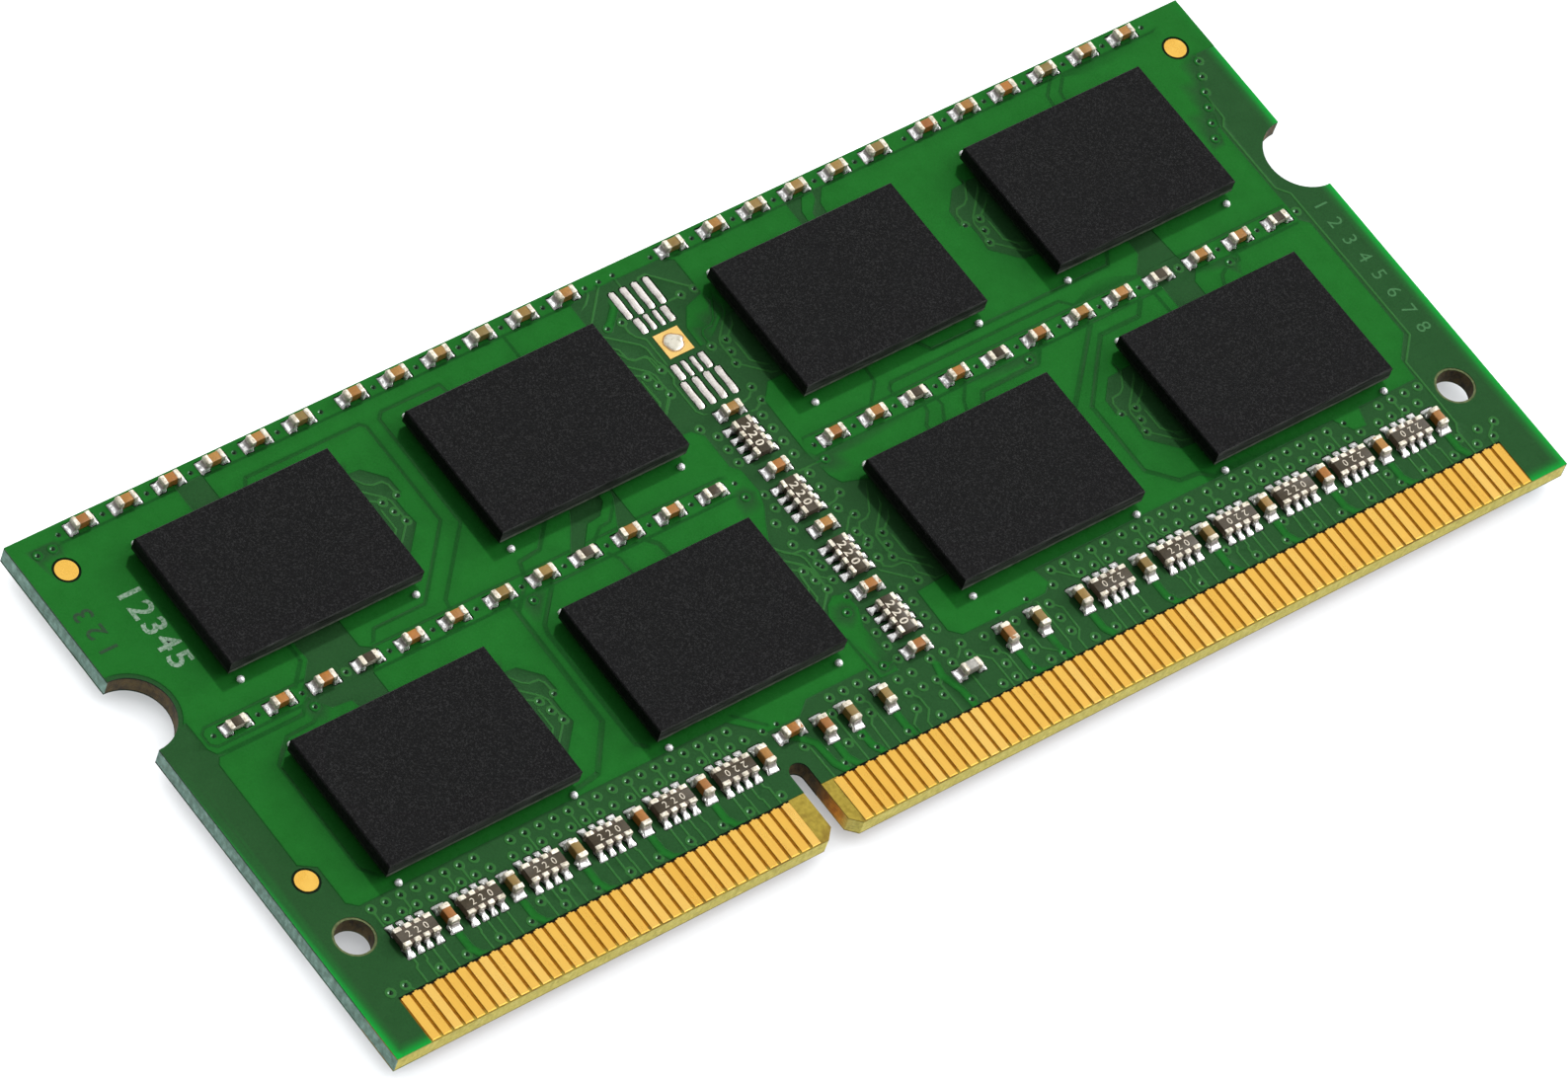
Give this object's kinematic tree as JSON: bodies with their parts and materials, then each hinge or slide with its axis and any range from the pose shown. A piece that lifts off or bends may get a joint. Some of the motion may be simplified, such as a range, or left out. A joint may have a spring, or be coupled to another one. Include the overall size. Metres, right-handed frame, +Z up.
{
  "type": "memory module",
  "caption": "Notebook memory module: a thin green printed board with a keyed gold contact edge, latch notches, and black memory packages and chip parts on both faces.",
  "frame": {"origin": "middle of the module's outline, at the outer faces of the back memory packages, which the module rests on", "axes": "+X along the length, towards the end with the longer contact group; +Y from the contact edge to the far edge; +Z up, out of the front face"},
  "size_m": [0.0676, 0.03, 0.0032],
  "materials": {
    "laminate": "bare woven-glass laminate edge, olive yellow, slightly rough",
    "copper": "buried copper foil",
    "solder_mask": "green solder mask, semi-gloss",
    "gold_plating": "gold plating, satin",
    "tinned_land": "tinned copper land, satin",
    "mould_compound": "black moulding compound, matte with a fine grain",
    "package_laminate": "thin dark package laminate",
    "silicon": "silicon die, sealed inside",
    "solder": "reflowed solder, bright",
    "capacitor_ceramic": "fired ceramic, tan to orange brown",
    "bead_ceramic": "grey ferrite ceramic",
    "tin_terminal": "matte tin plating",
    "alumina": "pale alumina ceramic",
    "resistor_glass": "dark brown resistor glass, semi-gloss",
    "tinned_lead": "tin-plated lead, satin"
  },
  "bodies": {
    "root": {"bead_bodies": "bead_ceramic", "capacitor_bodies_back": "capacitor_ceramic", "capacitor_bodies_centre_column": "capacitor_ceramic", "capacitor_bodies_connector_row": "capacitor_ceramic", "capacitor_bodies_middle_row": "capacitor_ceramic", "capacitor_bodies_top_row": "capacitor_ceramic", "chip_terminals_back": "tin_terminal", "chip_terminals_front": "tin_terminal", "contacts_back_long_group": "gold_plating", "contacts_back_short_group": "gold_plating", "contacts_front_long_group": "gold_plating", "contacts_front_short_group": "gold_plating", "fiducials": "gold_plating", "inner_ground_plane": "copper", "inner_power_plane": "copper", "laminate_core": "laminate", "memory_back_1_mould_cap": "mould_compound", "memory_back_2_mould_cap": "mould_compound", "memory_back_3_mould_cap": "mould_compound", "memory_back_4_mould_cap": "mould_compound", "memory_back_5_mould_cap": "mould_compound", "memory_back_6_mould_cap": "mould_compound", "memory_back_7_mould_cap": "mould_compound", "memory_back_8_mould_cap": "mould_compound", "memory_back_corner_dots": "solder", "memory_back_dies": "silicon", "memory_back_solder_balls": "solder", "memory_back_substrates": "package_laminate", "memory_front_1_mould_cap": "mould_compound", "memory_front_2_mould_cap": "mould_compound", "memory_front_3_mould_cap": "mould_compound", "memory_front_4_mould_cap": "mould_compound", "memory_front_5_mould_cap": "mould_compound", "memory_front_6_mould_cap": "mould_compound", "memory_front_7_mould_cap": "mould_compound", "memory_front_8_mould_cap": "mould_compound", "memory_front_corner_dots": "solder", "memory_front_dies": "silicon", "memory_front_solder_balls": "solder", "memory_front_substrates": "package_laminate", "network_bodies_back": "alumina", "network_bodies_front": "alumina", "network_overcoats_back": "resistor_glass", "network_overcoats_front": "resistor_glass", "network_terminals_back": "tin_terminal", "network_terminals_front": "tin_terminal", "prepreg_back": "laminate", "prepreg_front": "laminate", "resistor_bodies": "alumina", "resistor_overcoats": "resistor_glass", "resistor_terminals": "tin_terminal", "sensor_pads": "tinned_land", "sensor_thermal_pad": "gold_plating", "serial_memory_body": "mould_compound", "serial_memory_leads": "tinned_lead", "solder_joints_back": "solder", "solder_joints_front": "solder", "solder_mask_back": "solder_mask", "solder_mask_front": "solder_mask"}
  },
  "joints": []
}
